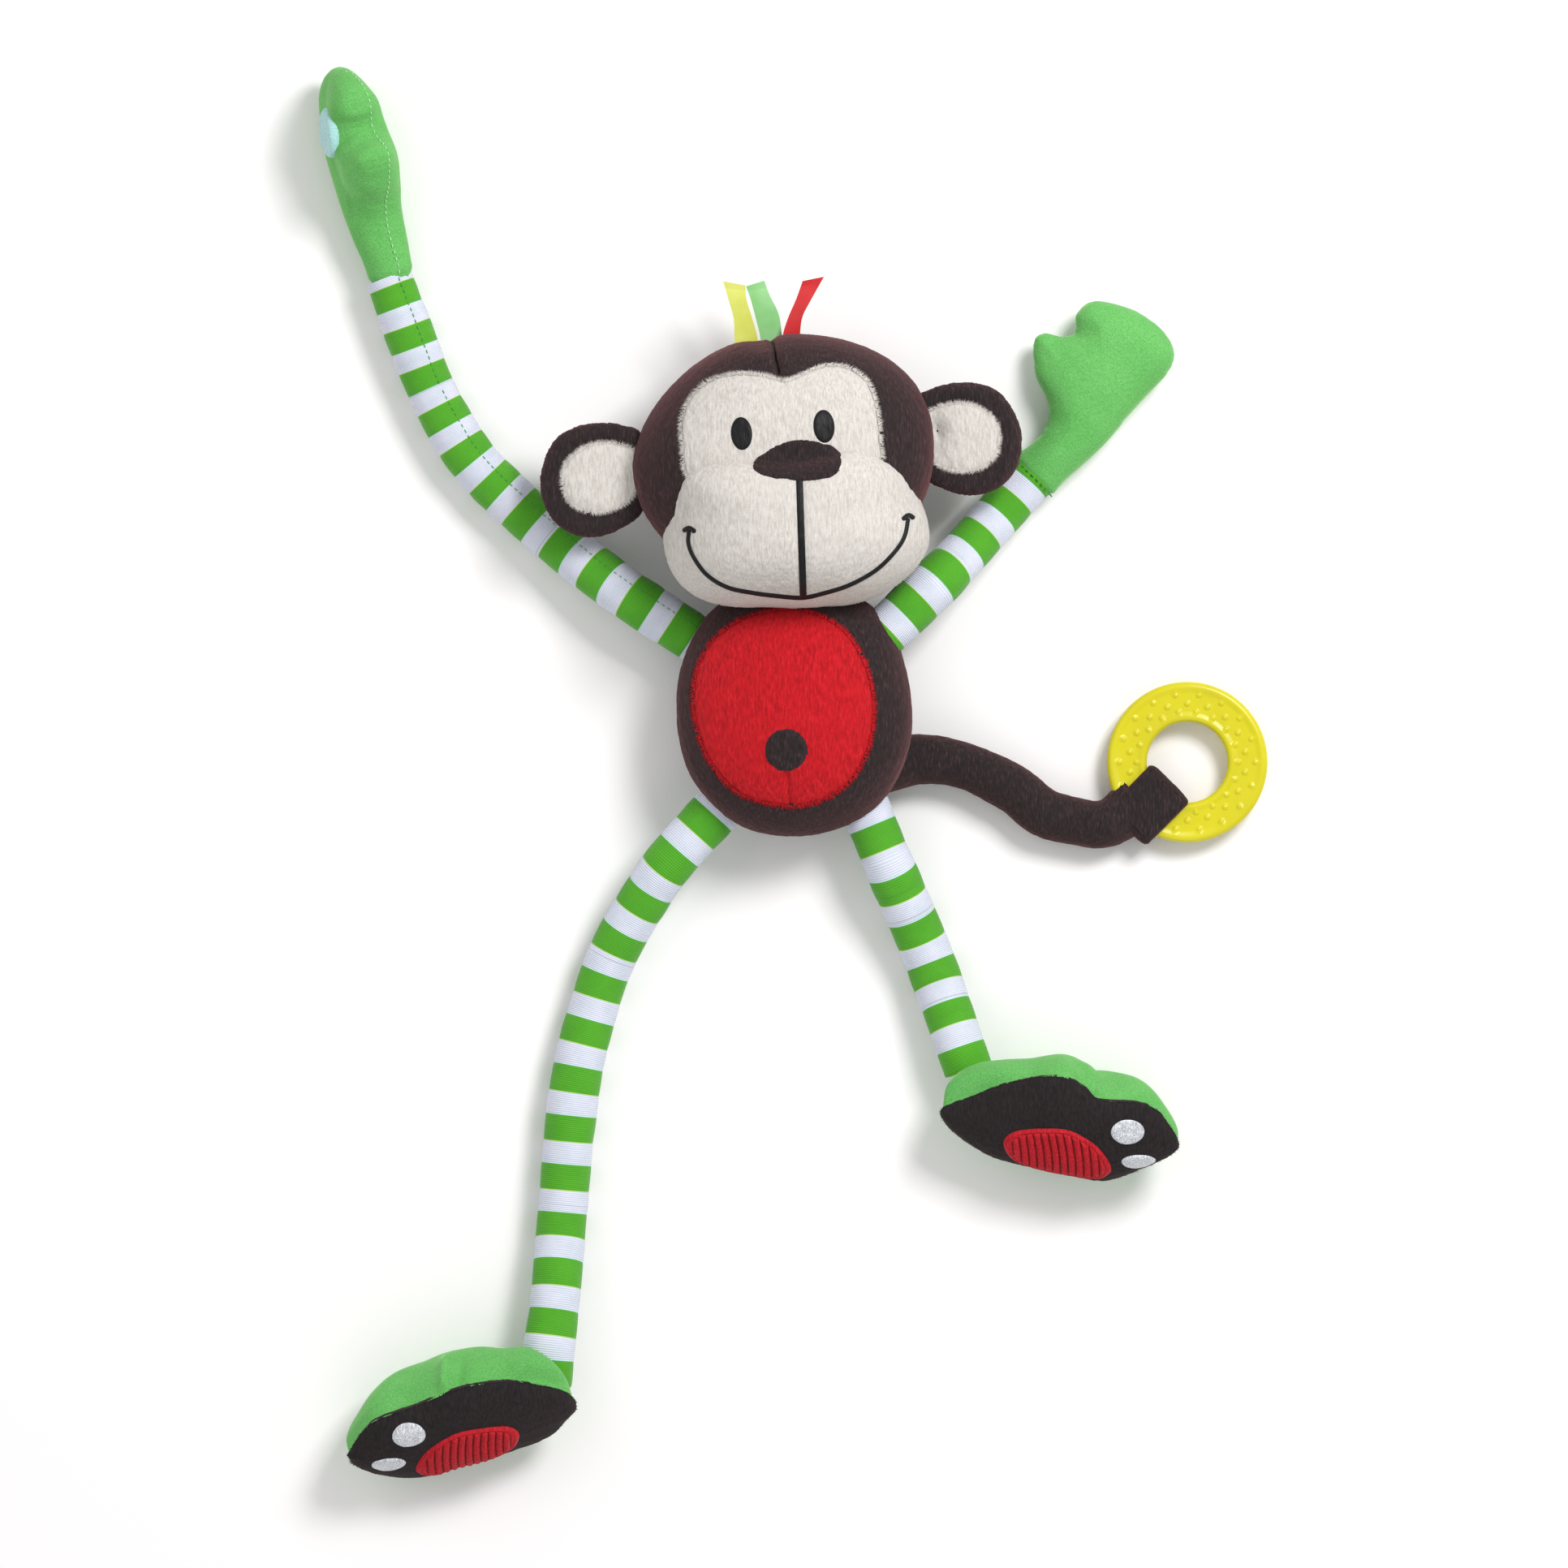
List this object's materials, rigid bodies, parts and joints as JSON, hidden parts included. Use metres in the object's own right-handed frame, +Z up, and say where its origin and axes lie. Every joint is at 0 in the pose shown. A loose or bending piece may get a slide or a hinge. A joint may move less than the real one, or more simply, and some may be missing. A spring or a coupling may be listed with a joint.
{
  "type": "plush pull-through monkey",
  "caption": "Soft long-limbed plush monkey with striped pull-through arms and legs, crinkled feet, tag ribbons and a teether ring held on its tail.",
  "frame": {"origin": "the flattened resting patch on the torso's back, under the middle of the torso, on the ground", "axes": "+Z up out of the ground and out of the face, +Y towards the head, +X towards the toy's own left"},
  "size_m": [0.3977, 0.5908, 0.0981],
  "materials": {
    "brown_plush": "long soft nap",
    "cream_plush": "long soft nap",
    "red_plush": "long soft nap",
    "black_thread": "satin stitch",
    "striped_knit": "green and white fine rib knit",
    "green_velour": "short nap",
    "blue_loop_pile": "loop pile",
    "red_ribbed_cloth": "ribbed",
    "silver_thread": "satin stitch",
    "fibre_fill": "loose fibre",
    "yellow_ribbon": "satin",
    "green_ribbon": "satin",
    "red_ribbon": "satin",
    "yellow_plastic": "semi-gloss",
    "clear_plastic": "gloss",
    "blue_plastic": "gloss"
  },
  "bodies": {
    "torso": {"torso_cover": "brown_plush", "torso_filling": "fibre_fill", "tummy_panel": "red_plush", "belly_button": "brown_plush", "squeaker_bellows": "clear_plastic", "squeaker_reed": "blue_plastic"},
    "neck": {"neck_tape": "brown_plush"},
    "head": {"head_cover": "brown_plush", "head_filling": "fibre_fill", "face_panel": "cream_plush", "muzzle": "cream_plush", "nose": "brown_plush", "mouth_embroidery": "black_thread", "eye_right_embroidery": "black_thread", "eye_left_embroidery": "black_thread", "rattle_case_lower": "clear_plastic", "rattle_case_upper": "blue_plastic"},
    "rattle_bead_1": {"rattle_bead_1": "blue_plastic"},
    "rattle_bead_2": {"rattle_bead_2": "blue_plastic"},
    "ear_right": {"ear_right_back": "brown_plush", "ear_right_lining": "cream_plush"},
    "ear_left": {"ear_left_back": "brown_plush", "ear_left_lining": "cream_plush"},
    "ribbon_yellow": {"ribbon_yellow": "yellow_ribbon"},
    "ribbon_green": {"ribbon_green": "green_ribbon"},
    "ribbon_red": {"ribbon_red": "red_ribbon"},
    "arm_right_root": {"arm_right_sleeve_root": "striped_knit"},
    "arm_right_upper": {"arm_right_sleeve_upper": "striped_knit"},
    "arm_right_lower": {"arm_right_sleeve_lower": "striped_knit"},
    "hand_right": {"hand_right": "green_velour", "palm_patch_right": "blue_loop_pile"},
    "arm_left_root": {"arm_left_sleeve_root": "striped_knit"},
    "arm_left_lower": {"arm_left_sleeve_lower": "striped_knit"},
    "hand_left": {"hand_left": "green_velour", "palm_patch_left": "blue_loop_pile"},
    "leg_right_root": {"leg_right_sleeve_root": "striped_knit"},
    "leg_right_upper": {"leg_right_sleeve_upper": "striped_knit"},
    "leg_right_lower": {"leg_right_sleeve_lower": "striped_knit"},
    "foot_right": {"foot_right_upper": "green_velour", "foot_right_sole": "brown_plush", "foot_right_ribbed_pad": "red_ribbed_cloth", "foot_right_toe_dot_1": "silver_thread", "foot_right_toe_dot_2": "silver_thread"},
    "leg_left_root": {"leg_left_sleeve_root": "striped_knit"},
    "leg_left_upper": {"leg_left_sleeve_upper": "striped_knit"},
    "leg_left_lower": {"leg_left_sleeve_lower": "striped_knit"},
    "foot_left": {"foot_left_upper": "green_velour", "foot_left_sole": "brown_plush", "foot_left_ribbed_pad": "red_ribbed_cloth", "foot_left_toe_dot_1": "silver_thread", "foot_left_toe_dot_2": "silver_thread"},
    "tail_base": {"tail_base": "brown_plush"},
    "tail_end": {"tail_end": "brown_plush"},
    "tail_loop": {"tail_loop": "brown_plush"},
    "teether_ring": {"teether_ring": "yellow_plastic"}
  },
  "joints": [
    {"name": "neck_turn", "type": "hinge", "parent": "torso", "child": "neck", "pos_m": [-0.0015, 0.0573, 0.036], "axis": [0, 0, 1], "range_deg": [-8, 8]},
    {"name": "head_nod", "type": "hinge", "parent": "neck", "child": "head", "pos_m": [-0.0015, 0.06, 0.036], "axis": [-1, 0, 0], "range_deg": [-3, 12]},
    {"name": "ear_right_fold", "type": "hinge", "parent": "head", "child": "ear_right", "pos_m": [-0.06781, 0.10597, 0.042], "axis": [-0.0785, 0.9969, 0], "range_deg": [-5, 45]},
    {"name": "ear_left_fold", "type": "hinge", "parent": "head", "child": "ear_left", "pos_m": [0.05481, 0.11563, 0.042], "axis": [0.0785, -0.9969, 0], "range_deg": [-5, 45]},
    {"name": "ribbon_yellow_flex", "type": "hinge", "parent": "head", "child": "ribbon_yellow", "pos_m": [-0.02132, 0.16149, 0.0456], "axis": [0.9969, 0.0785, 0], "range_deg": [0, 40]},
    {"name": "ribbon_green_flex", "type": "hinge", "parent": "head", "child": "ribbon_green", "pos_m": [-0.00943, 0.16333, 0.0384], "axis": [0.9969, 0.0785, 0], "range_deg": [-40, 0]},
    {"name": "ribbon_red_flex", "type": "hinge", "parent": "head", "child": "ribbon_red", "pos_m": [-0.00006, 0.16407, 0.042], "axis": [0.9969, 0.0785, 0], "range_deg": [-35, 35]},
    {"name": "rattle_bead_1_shake", "type": "slide", "parent": "head", "child": "rattle_bead_1", "axis": [0, 0, 1], "range_m": [0, 0.0125]},
    {"name": "rattle_bead_2_shake", "type": "slide", "parent": "head", "child": "rattle_bead_2", "axis": [0, 0, 1], "range_m": [0, 0.0125]},
    {"name": "arm_right_pull", "type": "slide", "parent": "torso", "child": "arm_right_root", "axis": [-0.8353, 0.5498, 0], "range_m": [-0.012, 0.012]},
    {"name": "arm_left_pull", "type": "slide", "parent": "torso", "child": "arm_left_root", "axis": [0.7137, 0.7004, 0], "range_m": [-0.012, 0.012]},
    {"name": "leg_right_pull", "type": "slide", "parent": "torso", "child": "leg_right_root", "axis": [-0.6695, -0.7429, 0], "range_m": [-0.012, 0.012]},
    {"name": "leg_left_pull", "type": "slide", "parent": "torso", "child": "leg_left_root", "axis": [0.3821, -0.9241, 0], "range_m": [-0.012, 0.012]},
    {"name": "arm_right_shoulder_bend", "type": "hinge", "parent": "arm_right_root", "child": "arm_right_upper", "pos_m": [-0.067, 0.05, 0.022], "axis": [0, 0, 1], "range_deg": [-10, 55]},
    {"name": "arm_right_elbow_bend", "type": "hinge", "parent": "arm_right_upper", "child": "arm_right_lower", "pos_m": [-0.1345, 0.1075, 0.0106], "axis": [0, 0, 1], "range_deg": [-40, 50]},
    {"name": "arm_right_wrist_lift", "type": "hinge", "parent": "arm_right_lower", "child": "hand_right", "pos_m": [-0.1663, 0.173, 0.012], "axis": [0.9624, 0.2715, 0], "range_deg": [-20, 50]},
    {"name": "arm_left_elbow_bend", "type": "hinge", "parent": "arm_left_root", "child": "arm_left_lower", "pos_m": [0.059, 0.0566, 0.022], "axis": [0, 0, 1], "range_deg": [-40, 12]},
    {"name": "arm_left_wrist_lift", "type": "hinge", "parent": "arm_left_lower", "child": "hand_left", "pos_m": [0.0913, 0.092, 0.012], "axis": [-0.7071, 0.7071, 0], "range_deg": [-40, 20]},
    {"name": "leg_right_hip_bend", "type": "hinge", "parent": "leg_right_root", "child": "leg_right_upper", "pos_m": [-0.0507, -0.0584, 0.022], "axis": [0, 0, 1], "range_deg": [-40, 12]},
    {"name": "leg_right_knee_lift", "type": "hinge", "parent": "leg_right_upper", "child": "leg_right_lower", "pos_m": [-0.0915, -0.1488, 0.0106], "axis": [-0.995, 0.1, 0], "range_deg": [-10, 52]},
    {"name": "leg_right_ankle_turn", "type": "hinge", "parent": "leg_right_lower", "child": "foot_right", "pos_m": [-0.103, -0.262, 0.014], "axis": [0, 0, 1], "range_deg": [-25, 25]},
    {"name": "leg_left_hip_bend", "type": "hinge", "parent": "leg_left_root", "child": "leg_left_upper", "pos_m": [0.0391, -0.0601, 0.022], "axis": [0, 0, 1], "range_deg": [-12, 30]},
    {"name": "leg_left_knee_lift", "type": "hinge", "parent": "leg_left_upper", "child": "leg_left_lower", "pos_m": [0.0576, -0.1035, 0.0106], "axis": [-0.9371, -0.3489, 0], "range_deg": [-10, 50]},
    {"name": "leg_left_ankle_turn", "type": "hinge", "parent": "leg_left_lower", "child": "foot_left", "pos_m": [0.069, -0.1358, 0.015], "axis": [0, 0, 1], "range_deg": [-20, 20]},
    {"name": "tail_swing", "type": "hinge", "parent": "torso", "child": "tail_base", "pos_m": [0.0405, -0.0194, 0.013], "axis": [0, 0, 1], "range_deg": [-15, 14]},
    {"name": "tail_bend", "type": "hinge", "parent": "tail_base", "child": "tail_end", "pos_m": [0.1, -0.038, 0.0095], "axis": [0, 0, 1], "range_deg": [-35, 20]},
    {"name": "tail_loop_flex", "type": "hinge", "parent": "tail_end", "child": "tail_loop", "pos_m": [0.1342, -0.046, 0.0095], "axis": [0, 0, 1], "range_deg": [-25, 20]},
    {"name": "ring_spin", "type": "hinge", "parent": "tail_loop", "child": "teether_ring", "pos_m": [0.1657, -0.0185, 0.0083], "axis": [0, 0, 1], "continuous": true}
  ],
  "couplings": [
    {"joint": "arm_left_pull", "follows": "arm_right_pull", "ratio": -1},
    {"joint": "leg_left_pull", "follows": "leg_right_pull", "ratio": -1}
  ]
}
